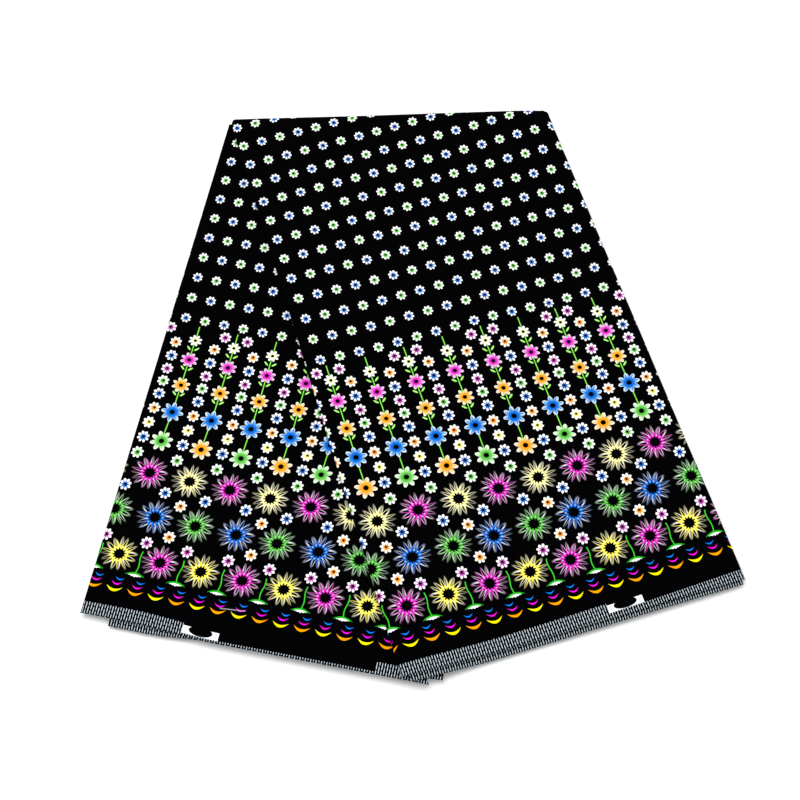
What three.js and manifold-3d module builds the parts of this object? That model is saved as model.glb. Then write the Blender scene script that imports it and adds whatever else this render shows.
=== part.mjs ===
// A length of printed cotton, folded at mid-width, pleated like an accordion and fanned out flat.
// Millimetres, +Z up, +X to the right, +Y towards the top fold. It lies on its flat underside,
// with the origin under the middle of its box.
//
// Two fans of plies turn about one corner, the pivot, at the left end of the top fold: the right
// fan lies over the left one. In each fan a place is given by how far across it lies from the
// fan's left edge, and how far along it lies from the pivot towards the selvedge.

import * as THREE from 'three';
import { mergeVertices } from 'three/addons/utils/BufferGeometryUtils.js';
import Module from 'manifold-3d';

// Cloth
const WALL = 1.2; // a ply with the air under it
const GAP = 0.3; // clearance between pieces that touch
const SLOT_GAP = 0.2; // clearance round a panel where it goes in between the layers
const PLY_GAP = 0.65; // a lower ply hangs a little clear of the top one
const PLEAT_WIDTH = 296; // one accordion panel, side fold to side fold

// Fans
const PIVOT = new THREE.Vector2( -174.18, 274.52 );
const RIGHT_TURN = 16.4; // degrees that the right fan's sides lean from straight down
const LEFT_TURN = -11.27;
const TOP_FOLD_TURN = 2.5; // degrees that the top fold rises to the right
const RIGHT_WIDTH_TOP = 293.5; // the right fan opens a little towards the selvedge
const RIGHT_WIDTH_SELVEDGE = 299;
const RIGHT_SELVEDGE_LEFT = 583; // pivot to selvedge along the left fold
const RIGHT_SELVEDGE_RIGHT = 578;
const LEFT_SELVEDGE = 511.2; // at the left fold, and further out away from it
const LEFT_SELVEDGE_FALL = 4.8;

// Heights
const FAN_HEIGHT = 8.4; // one fan, floor to the top of its top ply
const LIFT = 7.6; // how much the left fan raises the right one that lies on it
const LIFT_RUN_OUT = 48; // how far past the left fan's edge the right one comes down
const LIFT_RUN_IN = 32;
const UNDER_CLEARANCE = 0.25; // the wrap of the top fold ends just above the floor

// Folds
const SIDE_FOLD_RADIUS = 2.6;
const CORNER_FOLD_RADIUS = 9; // the right side fold is softer where it meets the top fold
const CORNER_FOLD_REACH = 38;
const TOP_FOLD_DEPTH = 9; // the rounded top fold, measured in plan
const TOP_FOLD_END = THREE.MathUtils.degToRad( 168 ); // how far round it the top ply wraps
const CORNER_END = THREE.MathUtils.degToRad( 92 ); // and how far at the two ends of the fold
const TUCK = 22; // how far the left panel goes on under the right fan
const OVERHANG = 3; // the top ply's selvedge reaches past the layers under it

// Plies that peek out under the top ones
const UNDER_PLY_TUCK = 34;
const RIGHT_UNDER_REACH_LEFT = 5.3; // past the top ply's selvedge, at the left and the right
const RIGHT_UNDER_REACH_RIGHT = 3.2;
const LEFT_UNDER_REACH = 5.7; // near the left fold; further right it stays hidden
const LEFT_UNDER_FALL = 8.2;
const LEFT_UNDER_START = 25;
const LEFT_UNDER_END = 303;
const LEFT_UNDER_LIFTED_CORNER = 4;
const DROOP = 1.6; // how far a free selvedge sinks

// Soft waves that stay in pressed cloth: rise in mm, lengths of a wave across and along in mm,
// and phase in radians
const WAVES = [
	{ rise: 0.42, across: 310, along: 420, phase: 0.6 },
	{ rise: 0.26, across: -170, along: 260, phase: 2.1 },
	{ rise: 0.18, across: 620, along: 150, phase: 4.0 },
];

// Edges of the hidden layers, from the top down: share of the height left under the top fold's
// roll, and how far each layer stands out at the left, right and selvedge sides
const LAYERS = [
	{ height: 1.00, left: 1.0, right: 1.0, front: 1.2 },
	{ height: 0.90, left: 0.7, right: 0.9, front: 0.2 },
	{ height: 0.77, left: 2.3, right: 2.0, front: 2.0 },
	{ height: 0.62, left: 0.8, right: 0.6, front: 0.4 },
	{ height: 0.49, left: 1.9, right: 2.4, front: 2.6 },
	{ height: 0.35, left: 0.7, right: 0.8, front: 0.6 },
	{ height: 0.20, left: 2.2, right: 2.1, front: 1.6 },
	{ height: 0.11, left: 2.0, right: 1.7, front: 1.5 },
	{ height: 0.00, left: 1.1, right: 1.2, front: 0.8 },
];
const LAYER_WANDER = 0.35; // a layer's edge isn't straight
const ROLL_ROOM = SIDE_FOLD_RADIUS - WALL - GAP;
const CORNER_ROOM = 0.4; // the layers' corners stay inside the cloth's, as a share of the fold

// Mesh steps
const SIDE_ROLL_STEPS = 4;
const TOP_ROLL_STEPS = 9;
const STEPS_ACROSS = 15;
const STEPS_ALONG = 24;

const BLACK_COTTON = { color: 0x0b0b0d, roughness: 0.86, metalness: 0 };

const { lerp, clamp, smoothstep, degToRad } = THREE.MathUtils;

// A fan's own directions in plan: across its pleats, and along them towards the selvedge
function fanFrame( turn ) {

	const angle = degToRad( turn );
	return {
		across: new THREE.Vector2( Math.cos( angle ), Math.sin( angle ) ),
		along: new THREE.Vector2( Math.sin( angle ), - Math.cos( angle ) ),
	};

}

const RIGHT = fanFrame( RIGHT_TURN );
const LEFT = fanFrame( LEFT_TURN );
const TOP_OUTWARD = fanFrame( TOP_FOLD_TURN ).along.negate();

function inPlan( fan, across, along ) {

	return PIVOT.clone()
		.addScaledVector( fan.across, across )
		.addScaledVector( fan.along, along );

}

// How far along the fan the slanting top fold lies, at a place across it
function topFoldAt( fan, across ) {

	return - across * fan.across.dot( TOP_OUTWARD ) / fan.along.dot( TOP_OUTWARD );

}

function inset( fan, depth ) {

	return - depth / fan.along.dot( TOP_OUTWARD );

}

function rightWidthAt( along ) {

	return lerp( RIGHT_WIDTH_TOP, RIGHT_WIDTH_SELVEDGE, clamp( along / RIGHT_SELVEDGE_LEFT, 0, 1 ) );

}

function rightSelvedgeAt( across ) {

	return lerp( RIGHT_SELVEDGE_LEFT, RIGHT_SELVEDGE_RIGHT, across / PLEAT_WIDTH );

}

function leftSelvedgeAt( across ) {

	return LEFT_SELVEDGE + LEFT_SELVEDGE_FALL * smoothstep( across, 40, 120 );

}

function waveAt( place ) {

	return WAVES.reduce( ( rise, wave ) => rise + wave.rise * Math.sin(
		2 * Math.PI * ( place.x / wave.across + place.y / wave.along ) + wave.phase ), 0 );

}

// Height of the top ply of each fan above the floor
function leftHeightAt( place ) {

	return FAN_HEIGHT + 0.5 * waveAt( place );

}

function rightHeightAt( place ) {

	const fromLeftFan = LEFT.across.dot( place.clone().sub( PIVOT ) ) - PLEAT_WIDTH;
	const raised = 1 - smoothstep( fromLeftFan, - LIFT_RUN_IN, LIFT_RUN_OUT );
	return FAN_HEIGHT + LIFT * raised + waveAt( place );

}

function cornerFoldRadius( belowTopFold ) {

	const softer = CORNER_FOLD_RADIUS - SIDE_FOLD_RADIUS;
	return SIDE_FOLD_RADIUS + softer * Math.exp( - Math.max( belowTopFold, 0 ) / CORNER_FOLD_REACH );

}

// A point of the right panel's outer face. The cloth lies flat between its folds. Past them,
// side and top say how far it has rolled over, in radians.
function rightPanelPoint( share, down, side, top ) {

	const middle = 0.5 * PLEAT_WIDTH;
	const topEdge = topFoldAt( RIGHT, middle ) + inset( RIGHT, TOP_FOLD_DEPTH );
	const guess = lerp( topEdge, RIGHT_SELVEDGE_LEFT, down );
	const leftRadius = SIDE_FOLD_RADIUS;
	const rightRadius = cornerFoldRadius( down * ( RIGHT_SELVEDGE_LEFT - topEdge ) );
	const across = lerp( leftRadius, rightWidthAt( guess ) - rightRadius, share );
	const start = topFoldAt( RIGHT, across ) + inset( RIGHT, TOP_FOLD_DEPTH );
	const along = lerp( start, rightSelvedgeAt( across ), down );
	const place = inPlan( RIGHT, across, along );
	const height = rightHeightAt( place );

	const rolled = Math.hypot( side, top );
	if ( rolled === 0 ) return new THREE.Vector3( place.x, place.y, height );

	const sideShare = side / rolled;
	const topShare = top / rolled;
	const turn = Math.min( rolled, lerp( TOP_FOLD_END, CORNER_END, Math.abs( sideShare ) ) );
	const sideRadius = side < 0 ? leftRadius : rightRadius;
	const topRadius = 0.5 * ( height - UNDER_CLEARANCE );
	place.addScaledVector( RIGHT.across, Math.sin( turn ) * sideShare * sideRadius );
	place.addScaledVector( TOP_OUTWARD, Math.sin( turn ) * topShare * TOP_FOLD_DEPTH );
	const radius = lerp( Math.min( sideRadius, 0.45 * height ), topRadius, topShare * topShare );
	return new THREE.Vector3( place.x, place.y, height - ( 1 - Math.cos( turn ) ) * radius );

}

function leftTopAt( across ) {

	return topFoldAt( LEFT, across ) + 4 + Math.min( 1.15 * across, 16 );

}

// The left panel ends where it has gone in under the right fan by its tuck
function leftPanelWidthAt( along, tuck ) {

	return ( tuck - along * LEFT.along.dot( RIGHT.across ) ) / LEFT.across.dot( RIGHT.across );

}

function leftPanelPoint( share, down, side, grow ) {

	const along = lerp( leftTopAt( 0 ), LEFT_SELVEDGE, down );
	const across = lerp( SIDE_FOLD_RADIUS, leftPanelWidthAt( along, TUCK + grow ), share );
	const slanted = lerp( leftTopAt( across ) - grow, leftSelvedgeAt( across ), down );
	const place = inPlan( LEFT, across, slanted );
	const height = leftHeightAt( place );
	place.addScaledVector( LEFT.across, Math.sin( side ) * SIDE_FOLD_RADIUS );
	return new THREE.Vector3( place.x, place.y, height - ( 1 - Math.cos( side ) ) * SIDE_FOLD_RADIUS );

}

// Turns a grid of points, point( column, row ), into a closed wall of cloth of some thickness.
// The second face is the first one moved along its normals by the depth.
function clothWall( columns, rows, point, depth, lift = 0 ) {

	const grid = [];
	for ( let row = 0; row <= rows; row ++ ) {

		for ( let column = 0; column <= columns; column ++ ) grid.push( point( column, row ) );

	}

	const at = ( column, row ) =>
		grid[ clamp( row, 0, rows ) * ( columns + 1 ) + clamp( column, 0, columns ) ];

	const outer = [];
	const inner = [];
	for ( let row = 0; row <= rows; row ++ ) {

		for ( let column = 0; column <= columns; column ++ ) {

			const right = at( column + 1, row ).clone().sub( at( column - 1, row ) );
			const down = at( column, row + 1 ).clone().sub( at( column, row - 1 ) );
			const normal = down.cross( right ).normalize();
			outer.push( at( column, row ).clone().addScaledVector( normal, lift ) );
			inner.push( at( column, row ).clone().addScaledVector( normal, - depth ) );

		}

	}

	const triangles = [];
	const quad = ( a, b, c, d ) => triangles.push( a, b, c, a, c, d );
	const index = ( column, row ) => row * ( columns + 1 ) + column;
	const behind = outer.length;
	for ( let row = 0; row < rows; row ++ ) {

		for ( let column = 0; column < columns; column ++ ) {

			const corners = [
				index( column, row ), index( column, row + 1 ),
				index( column + 1, row + 1 ), index( column + 1, row ),
			];
			quad( ...corners );
			const [ a, b, c, d ] = corners.map( ( corner ) => corner + behind );
			triangles.push( a, c, b, a, d, c );

		}

	}

	const rim = gridRim( columns, rows ).map( ( [ column, row ] ) => index( column, row ) );
	rim.forEach( ( a, step ) => {

		const b = rim[ ( step + 1 ) % rim.length ];
		quad( a, a + behind, b + behind, b );

	} );
	return closedGeometry( [ ...outer, ...inner ], triangles );

}

// The grid's border, once round: down the left side, along the foot, up the right and back
function gridRim( columns, rows ) {

	const rim = [];
	for ( let row = 0; row < rows; row ++ ) rim.push( [ 0, row ] );
	for ( let column = 0; column < columns; column ++ ) rim.push( [ column, rows ] );
	for ( let row = rows; row > 0; row -- ) rim.push( [ columns, row ] );
	for ( let column = columns; column > 0; column -- ) rim.push( [ column, 0 ] );
	return rim;

}

function closedGeometry( points, triangles ) {

	const geometry = new THREE.BufferGeometry();
	const numbers = points.flatMap( ( point ) => [ point.x, point.y, point.z ] );
	geometry.setAttribute( 'position', new THREE.Float32BufferAttribute( numbers, 3 ) );
	geometry.setIndex( triangles );
	return geometry;

}

// A right or left panel's wall: the steps of its rolled sides and top, then its flat stretch
function rightPanelWall( depth, lift ) {

	const columns = STEPS_ACROSS + 2 * SIDE_ROLL_STEPS;
	const rows = STEPS_ALONG + TOP_ROLL_STEPS;
	return clothWall( columns, rows, ( column, row ) => {

		const share = clamp( ( column - SIDE_ROLL_STEPS ) / STEPS_ACROSS, 0, 1 );
		const down = clamp( ( row - TOP_ROLL_STEPS ) / STEPS_ALONG, 0, 1 );
		const pastLeft = Math.max( 0, SIDE_ROLL_STEPS - column );
		const pastRight = Math.max( 0, column - SIDE_ROLL_STEPS - STEPS_ACROSS );
		const side = ( pastRight - pastLeft ) / SIDE_ROLL_STEPS * 0.5 * Math.PI;
		const top = Math.max( 0, TOP_ROLL_STEPS - row ) / TOP_ROLL_STEPS * TOP_FOLD_END;
		return rightPanelPoint( share, down, side, top );

	}, depth, lift );

}

function leftPanelWall( depth, lift, grow ) {

	return clothWall( STEPS_ACROSS + SIDE_ROLL_STEPS, STEPS_ALONG, ( column, row ) => {

		const share = clamp( ( column - SIDE_ROLL_STEPS ) / STEPS_ACROSS, 0, 1 );
		const side = - Math.max( 0, SIDE_ROLL_STEPS - column ) / SIDE_ROLL_STEPS * 0.5 * Math.PI;
		return leftPanelPoint( share, row / STEPS_ALONG, side, grow );

	}, depth, lift );

}

// A ply under the top one: it follows it at a wall's distance and droops where it comes out
function underPlyWall( fan, heightAt, ends, selvedgeAt, reachAt, depth, lift, grow ) {

	const columns = STEPS_ACROSS + 3;
	const rows = 6;
	return clothWall( columns, rows, ( column, row ) => {

		const across = lerp( ends[ 0 ] - grow, ends[ 1 ] + grow, column / columns );
		const start = selvedgeAt( across ) - UNDER_PLY_TUCK - grow;
		const end = selvedgeAt( across ) + reachAt( across ) + grow;
		const along = lerp( start, end, row / rows );
		const place = inPlan( fan, across, along );
		const out = Math.max( 0, along - selvedgeAt( across ) + OVERHANG );
		const sunk = DROOP * smoothstep( out, 0, OVERHANG + RIGHT_UNDER_REACH_LEFT );
		return new THREE.Vector3( place.x, place.y, heightAt( place ) - WALL - PLY_GAP - sunk );

	}, depth, lift );

}

function rightUnderPlyWall( depth, lift, grow ) {

	const reachAt = ( across ) =>
		lerp( RIGHT_UNDER_REACH_LEFT, RIGHT_UNDER_REACH_RIGHT, across / PLEAT_WIDTH );
	const ends = [ 7, RIGHT_WIDTH_SELVEDGE - 3 ];
	return underPlyWall( RIGHT, rightHeightAt, ends, rightSelvedgeAt, reachAt, depth, lift, grow );

}

function leftUnderPlyWall( depth, lift, grow ) {

	const reachAt = ( across ) => LEFT_UNDER_REACH
		- LEFT_UNDER_FALL * smoothstep( across, 50, 125 )
		- LEFT_UNDER_LIFTED_CORNER * smoothstep( across, 262, LEFT_UNDER_END );
	const ends = [ LEFT_UNDER_START, LEFT_UNDER_END ];
	return underPlyWall( LEFT, leftHeightAt, ends, leftSelvedgeAt, reachAt, depth, lift, grow );

}

// A fan's hidden layers: a top that follows the panel on it, edges that step in and out layer by
// layer, a rounded end inside the top fold, and a flat underside. pointAt gives the place in plan
// of a grid point and the height of the top ply there.
function layeredStack( fan, pointAt, roundTop ) {

	const grid = [];
	for ( let row = 0; row <= STEPS_ALONG; row ++ ) {

		for ( let column = 0; column <= STEPS_ACROSS; column ++ ) {

			const { place, height } = pointAt( column / STEPS_ACROSS, row / STEPS_ALONG );
			grid.push( new THREE.Vector3( place.x, place.y, height - WALL - GAP ) );

		}

	}

	const points = [ ...grid ];
	const triangles = [];
	const index = ( column, row ) => row * ( STEPS_ACROSS + 1 ) + column;
	for ( let row = 0; row < STEPS_ALONG; row ++ ) {

		for ( let column = 0; column < STEPS_ACROSS; column ++ ) {

			const [ a, b ] = [ index( column, row ), index( column, row + 1 ) ];
			triangles.push( a, b, b + 1, a, b + 1, a + 1 );

		}

	}

	const border = gridRim( STEPS_ACROSS, STEPS_ALONG );
	let ring = border.map( ( [ column, row ] ) => index( column, row ) );
	LAYERS.forEach( ( layer, level ) => {

		const next = [];
		border.forEach( ( [ column, row ], step ) => {

			const top = grid[ index( column, row ) ];
			const edge = top.z - ROLL_ROOM;
			const z = layer.height * edge;
			const wander = LAYER_WANDER * Math.sin( 1.7 * level + 0.55 * step ) * ( level > 0 ? 1 : 0 );
			const point = new THREE.Vector2( top.x, top.y );
			const atSide = column === 0 || column === STEPS_ACROSS;
			if ( column === 0 && row > 0 ) point.addScaledVector( fan.across, - layer.left - wander );
			if ( atSide && column > 0 && row > 0 ) point.addScaledVector( fan.across, layer.right + wander );
			if ( row === STEPS_ALONG ) point.addScaledVector( fan.along, layer.front + wander );
			if ( row === 0 && roundTop ) {

				const foot = UNDER_CLEARANCE + WALL + GAP; // the top ply wraps round below this
				const middle = 0.5 * ( top.z + foot );
				const rise = clamp( ( z - middle ) / ( top.z - middle ), - 1, 1 );
				const room = ( TOP_FOLD_DEPTH - WALL - GAP ) * ( atSide ? CORNER_ROOM : 1 );
				point.addScaledVector( TOP_OUTWARD, room * Math.sqrt( 1 - rise * rise ) );

			}

			next.push( points.length );
			points.push( new THREE.Vector3( point.x, point.y, z ) );

		} );
		ring.forEach( ( a, step ) => {

			const after = ( step + 1 ) % ring.length;
			const [ b, c, d ] = [ next[ step ], next[ after ], ring[ after ] ];
			triangles.push( a, b, c, a, c, d );

		} );
		ring = next;

	} );

	const { place } = pointAt( 0.5, 0.5 );
	const centre = points.length;
	points.push( new THREE.Vector3( place.x, place.y, 0 ) );
	ring.forEach( ( a, step ) => triangles.push( a, centre, ring[ ( step + 1 ) % ring.length ] ) );
	return closedGeometry( points, triangles );

}

function rightStack() {

	return layeredStack( RIGHT, ( share, down ) => {

		const point = rightPanelPoint( share, down, 0, 0 );
		const place = new THREE.Vector2( point.x, point.y );
		const height = rightHeightAt( place );
		place.addScaledVector( RIGHT.along, - OVERHANG * smoothstep( down, 0.9, 1 ) );
		return { place, height };

	}, true );

}

function leftStack() {

	return layeredStack( LEFT, ( share, down ) => {

		const across = lerp( SIDE_FOLD_RADIUS, PLEAT_WIDTH - 4, share );
		const along = lerp( leftTopAt( across ), LEFT_SELVEDGE - OVERHANG, down );
		const place = inPlan( LEFT, across, along );
		return { place, height: leftHeightAt( place ) };

	}, false );

}

const wasm = await Module();
wasm.setup();

function toSolid( geometry ) {

	const merged = mergeVertices( geometry, 1e-4 );
	return new wasm.Manifold( new wasm.Mesh( {
		numProp: 3,
		vertProperties: new Float32Array( merged.attributes.position.array ),
		triVerts: new Uint32Array( merged.index.array ),
	} ) );

}

function toGeometry( solid ) {

	const { vertProperties, triVerts } = solid.getMesh();
	const geometry = new THREE.BufferGeometry();
	geometry.setAttribute( 'position', new THREE.BufferAttribute( vertProperties, 3 ) );
	geometry.setIndex( new THREE.BufferAttribute( triVerts, 1 ) );
	return geometry;

}

// Both fans' hidden layers are one solid, with a slot for each ply that goes in between them
function foldedLayers() {

	const slots = [
		leftPanelWall( WALL + SLOT_GAP, GAP, GAP ),
		leftUnderPlyWall( WALL + GAP, PLY_GAP, GAP ),
		rightUnderPlyWall( WALL + GAP, PLY_GAP, GAP ),
	];
	const both = toSolid( leftStack() ).add( toSolid( rightStack() ) );
	return toGeometry( slots.reduce( ( left, slot ) => left.subtract( toSolid( slot ) ), both ) );

}

function piece( name, geometry ) {

	const mesh = new THREE.Mesh( geometry, new THREE.MeshStandardMaterial( BLACK_COTTON ) );
	mesh.name = name;
	return mesh;

}

const cloth = new THREE.Group();
cloth.add(
	piece( 'folded_layers', foldedLayers() ),
	piece( 'left_panel', leftPanelWall( WALL, 0, 0 ) ),
	piece( 'left_under_ply', leftUnderPlyWall( WALL, 0, 0 ) ),
	piece( 'right_panel', rightPanelWall( WALL, 0 ) ),
	piece( 'right_under_ply', rightUnderPlyWall( WALL, 0, 0 ) ),
);

export default cloth;
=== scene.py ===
"""A length of black cotton with a bright flower print, folded at mid-width, pleated like an
accordion and fanned out flat. Plan places and cloth sizes are in millimetres, and meshes are
made in metres. +Z is up, and +Y points from the selvedges towards the top fold."""

import math

import bpy
from mathutils import Matrix, Vector, noise


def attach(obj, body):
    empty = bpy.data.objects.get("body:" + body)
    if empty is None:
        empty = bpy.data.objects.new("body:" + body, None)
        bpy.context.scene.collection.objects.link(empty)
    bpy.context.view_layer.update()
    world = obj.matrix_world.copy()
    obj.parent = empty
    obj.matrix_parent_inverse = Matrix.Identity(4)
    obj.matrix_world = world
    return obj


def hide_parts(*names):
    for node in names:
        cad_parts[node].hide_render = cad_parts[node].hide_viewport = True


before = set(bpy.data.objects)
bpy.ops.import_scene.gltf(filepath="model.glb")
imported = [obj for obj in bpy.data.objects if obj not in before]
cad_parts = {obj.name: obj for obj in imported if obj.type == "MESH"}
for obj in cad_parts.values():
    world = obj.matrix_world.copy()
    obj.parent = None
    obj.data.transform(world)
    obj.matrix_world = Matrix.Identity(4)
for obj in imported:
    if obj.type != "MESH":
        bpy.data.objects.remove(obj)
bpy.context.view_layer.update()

MM = 0.001
PICTURE_SIDE = 800  # pixels, both ways

# Cloth
CLOTH = 0.45  # thickness of a ply that shows
HIDDEN_CLOTH = 0.34  # plies inside the heap are pressed thinner
PLY_SPACING = 1.85  # a lower ply's face below the top ply's face
PLEAT_WIDTH = 296  # one accordion panel, side fold to side fold

# Fans: each place is so far across from the fan's left edge, and so far along from the pivot
PIVOT = Vector((-174.18, 274.52))
RIGHT_TURN = 16.4
LEFT_TURN = -11.27
TOP_FOLD_TURN = 2.5
RIGHT_WIDTH_TOP = 293.5
RIGHT_WIDTH_SELVEDGE = 299
RIGHT_SELVEDGE_LEFT = 583
RIGHT_SELVEDGE_RIGHT = 578
LEFT_SELVEDGE = 511.2
LEFT_SELVEDGE_FALL = 4.8
LEFT_SELVEDGE_FALLS = (40, 120)  # from and to, across the fan
LEFT_TOP_INSET = 1
LEFT_TOP_SLANT = 1.15
LEFT_TOP_DROP = 19

# Heights
FAN_HEIGHT = 8.4
LIFT = 7.6  # how much the left fan raises the right one that lies on it
LIFT_RUN_OUT = 48
LIFT_RUN_IN = 32
UNDER_CLEARANCE = 0.25

# Folds
SIDE_FOLD_RADIUS = 2.6
SIDE_FOLD_SHARE = 0.45  # of the height, at most
CORNER_FOLD_RADIUS = 9
CORNER_FOLD_REACH = 38
TOP_FOLD_DEPTH = 9
TOP_FOLD_END = math.radians(168)
CORNER_END = math.radians(92)
TUCK = 22
OVERHANG = 3

# Plies that peek out under the top ones
UNDER_PLY_TUCK = 34
RIGHT_UNDER_ENDS = (7, 296)
RIGHT_UNDER_REACH_LEFT = 5.3
RIGHT_UNDER_REACH_RIGHT = 3.2
LEFT_UNDER_ENDS = (25, 303)
LEFT_UNDER_REACH = 5.7
LEFT_UNDER_FALL = 8.2
LEFT_UNDER_FALLS = (50, 125)
LEFT_UNDER_LIFTED_CORNER = 4
LEFT_UNDER_LIFTED_FROM = 262
DROOP = 1.6

WAVES = [
    {"rise": 0.42, "across": 310, "along": 420, "phase": 0.6},
    {"rise": 0.26, "across": -170, "along": 260, "phase": 2.1},
    {"rise": 0.18, "across": 620, "along": 150, "phase": 4.0},
]


def lerp(a, b, t):
    return a + (b - a) * t


def smooth(x, low, high):
    t = min(max((x - low) / (high - low), 0), 1)
    return t * t * (3 - 2 * t)


def fan_frame(turn):
    """A fan's directions in plan: across its pleats, and along them towards the selvedge."""
    angle = math.radians(turn)
    across = Vector((math.cos(angle), math.sin(angle)))
    along = Vector((math.sin(angle), -math.cos(angle)))
    return {"across": across, "along": along}


RIGHT = fan_frame(RIGHT_TURN)
LEFT = fan_frame(LEFT_TURN)
TOP_OUTWARD = -fan_frame(TOP_FOLD_TURN)["along"]


def in_plan(fan, across, along):
    return PIVOT + fan["across"] * across + fan["along"] * along


def top_fold_at(fan, across):
    return -across * fan["across"].dot(TOP_OUTWARD) / fan["along"].dot(TOP_OUTWARD)


def right_width_at(along):
    share = min(max(along / RIGHT_SELVEDGE_LEFT, 0), 1)
    return lerp(RIGHT_WIDTH_TOP, RIGHT_WIDTH_SELVEDGE, share)


def right_selvedge_at(across):
    return lerp(RIGHT_SELVEDGE_LEFT, RIGHT_SELVEDGE_RIGHT, across / PLEAT_WIDTH)


def left_selvedge_at(across):
    return LEFT_SELVEDGE + LEFT_SELVEDGE_FALL * smooth(across, *LEFT_SELVEDGE_FALLS)


def wave_at(place):
    rise = 0
    for wave in WAVES:
        turns = place.x / wave["across"] + place.y / wave["along"]
        rise += wave["rise"] * math.sin(2 * math.pi * turns + wave["phase"])
    return rise


def from_left_fan(place):
    """How far a place lies past the left fan's right-hand edge."""
    return LEFT["across"].dot(place - PIVOT) - PLEAT_WIDTH


def left_height_at(place):
    return FAN_HEIGHT + 0.5 * wave_at(place)


def right_height_at(place):
    raised = 1 - smooth(from_left_fan(place), -LIFT_RUN_IN, LIFT_RUN_OUT)
    return FAN_HEIGHT + LIFT * raised + wave_at(place)


# Creases that pressing and handling left, listed one by one. Each runs between two places, given as
# across and along its fan, and is a soft ridge, or a trough where its rise is negative.
CREASES = [
    {"fan": "right", "start": (40, 120), "end": (150, 165), "rise": 0.45, "width": 7},
    {"fan": "right", "start": (296, 210), "end": (205, 262), "rise": -0.5, "width": 9},
    {"fan": "right", "start": (60, 330), "end": (72, 470), "rise": 0.4, "width": 8},
    {"fan": "right", "start": (148, 60), "end": (149, 575), "rise": 0.3, "width": 3.5},
    {"fan": "right", "start": (230, 420), "end": (298, 505), "rise": 0.5, "width": 10},
    {"fan": "right", "start": (110, 548), "end": (205, 556), "rise": -0.4, "width": 8},
    {"fan": "left", "start": (10, 140), "end": (90, 190), "rise": 0.45, "width": 8},
    {"fan": "left", "start": (20, 395), "end": (120, 340), "rise": -0.45, "width": 9},
    {"fan": "left", "start": (148, 330), "end": (149, 508), "rise": 0.3, "width": 3.5},
    {"fan": "left", "start": (60, 480), "end": (160, 488), "rise": 0.35, "width": 7},
]
CREASE_OVERRUN = 0.2  # of its length, past each end
CREASE_FADE = 0.25  # of its length, in from each end


def crease_at(fan_name, across, along):
    """Height that the creases of a fan add at a place."""
    spot = Vector((across, along))
    rise = 0
    for crease in CREASES:
        if crease["fan"] != fan_name:
            continue
        start = Vector(crease["start"])
        run = Vector(crease["end"]) - start
        share = (spot - start).dot(run) / run.length_squared
        if not -CREASE_OVERRUN < share < 1 + CREASE_OVERRUN:
            continue
        off = (spot - start - run * share).length / crease["width"]
        taper = smooth(share, -CREASE_OVERRUN, CREASE_FADE)
        taper *= 1 - smooth(share, 1 - CREASE_FADE, 1 + CREASE_OVERRUN)
        rise += crease["rise"] * taper * math.exp(-off * off)
    return rise


# Where the print lies on each panel. The print's own places are in mm: u runs along the selvedge,
# and v rises from it. The hatch along the selvedge has places of its own: s runs along the edge
# from the label block, and t is the distance from the edge. The two panels show the two edges of
# one cloth, so the left one's print is mirrored.
PRINTS = {
    "right": {"origin": (-11.68, -277.68), "turn": 17.52, "start": 0, "hand": 1, "block": 180},
    "left": {"origin": (-274.08, -226.88), "turn": -11.27, "start": 72.4, "hand": -1, "block": 86},
}
DAISIES_SWAPPED = {"right": 0, "left": 1}

# The print lies off true, as pressed cloth is never square: at some heights, how far it is moved
# aside and up, each 75 mm along the selvedge
MARK_STEP = 75
DRIFTS = {
    "right": [
        {"at": 0, "aside": (1, -0.5, -0.5, 0.5, 0), "up": (3, 1, 0.5, 1, -2)},
        {"at": 150, "aside": (2, 1.5, 0.5, 0, -1), "up": (2.5, 3, 1.5, 0.5, -2)},
        {"at": 290, "aside": (0, 1.5, 1.5, 1, 1.5), "up": (0.5, 5, 4.5, 2.5, 0.5)},
        {"at": 430, "aside": (2.5, 3, 3.5, 4, 4), "up": (3.5, 4, 4.5, 4, 1)},
        {"at": 590, "aside": (5.5, 6, 6.5, 5.5, 4), "up": (7.5, 5.5, 3, -0.5, -4)},
    ],
    "left": [
        {"at": 0, "aside": (-0.5, -0.5, -0.5, 0, 0), "up": (-8.5, -5.5, -3.5, -2, -1.5)},
        {"at": 60, "aside": (4.5, 4, 4, 3.5, 3), "up": (-5.5, -2.5, 0, 0.5, 1.5)},
        {"at": 130, "aside": (9, 9, 9, 8, 7.5), "up": (-3.5, -0.5, 1.5, 3, 4)},
        {"at": 200, "aside": (13.5, 13.5, 13, 13, 12.5), "up": (-2, 1.5, 3.5, 5, 6.5)},
        {"at": 290, "aside": (15.5, 15, 14.5, 14, 13.5), "up": (4, 6, 7.5, 9, 10)},
        {"at": 444, "aside": (14.5, 12.5, 11.5, 10.5, 9.5), "up": (9.5, 9.5, 9.5, 9, 9)},
    ],
}
# How much closer to its selvedge each panel's hatch is cut, at the same marks
HATCH_TRIMS = {"right": (4, 3, 2, 0, -3.5), "left": (3.5, 3.2, 3, 3, 4)}


def between_marks(worths, place):
    """Runs straight between worths at even marks, and on past the last ones."""
    low = min(max(int(place // MARK_STEP), 0), len(worths) - 2)
    return lerp(worths[low], worths[low + 1], place / MARK_STEP - low)


def drift_at(rows, along_edge, height):
    """How far the print is moved aside and up at a place on a panel."""
    after = next((at for at, row in enumerate(rows) if row["at"] > height), len(rows) - 1)
    low, high = rows[max(after - 1, 0)], rows[max(after, 1)]
    share = (height - low["at"]) / (high["at"] - low["at"])
    moved = []
    for way in ("aside", "up"):
        ends = (between_marks(row[way], along_edge) for row in (low, high))
        moved.append(lerp(*ends, share))
    return moved


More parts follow.
